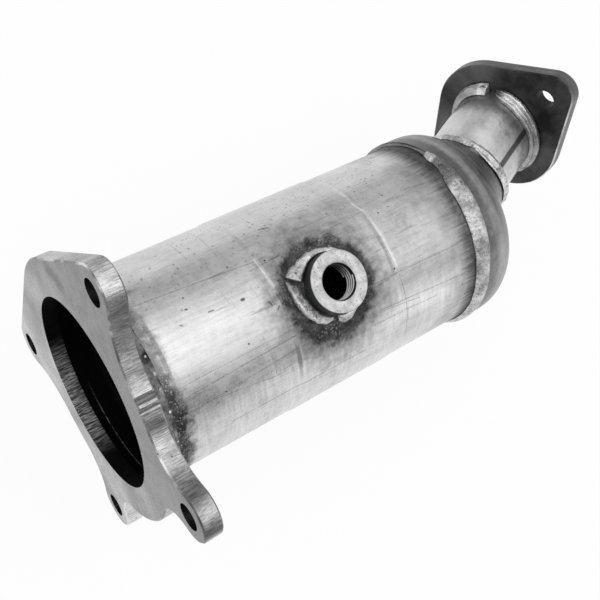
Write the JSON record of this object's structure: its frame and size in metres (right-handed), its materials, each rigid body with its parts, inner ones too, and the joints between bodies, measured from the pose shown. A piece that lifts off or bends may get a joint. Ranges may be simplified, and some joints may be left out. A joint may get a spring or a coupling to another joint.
{
  "type": "catalytic converter",
  "caption": "Welded steel exhaust can with a wavy bolted inlet flange, a threaded sensor port and a domed end that turns into a short pipe and a diamond outlet flange.",
  "frame": {"origin": "centre of the inlet flange's mating face, on the can's axis", "axes": "+X along the can from the inlet to the outlet, the outlet turns towards +Y in the XY plane, and the sensor port faces +Z, leaned 2.5 degrees towards -Y"},
  "size_m": [0.3007, 0.1484, 0.1782],
  "materials": {
    "flange_steel": "machined",
    "can_steel": "satin",
    "weld_steel": "rough",
    "cone_steel": "satin",
    "boss_steel": "machined",
    "pipe_steel": "satin",
    "outlet_flange_steel": "burnt",
    "honeycomb": "matt",
    "mat": "fibrous",
    "seal": "knitted"
  },
  "bodies": {
    "root": {"inlet_flange": "flange_steel", "inlet_weld": "weld_steel", "body_shell": "can_steel", "sensor_boss": "boss_steel", "boss_weld_upper": "weld_steel", "boss_weld_lower": "weld_steel", "boss_weld_end": "weld_steel", "end_cone": "cone_steel", "cone_weld": "weld_steel", "neck_weld": "weld_steel", "outlet_pipe": "pipe_steel", "outlet_weld": "weld_steel", "outlet_flange": "outlet_flange_steel", "front_monolith": "honeycomb", "front_mat": "mat", "front_inlet_seal": "seal", "front_outlet_seal": "seal", "rear_monolith": "honeycomb", "rear_mat": "mat", "rear_inlet_seal": "seal", "rear_outlet_seal": "seal"}
  },
  "joints": []
}
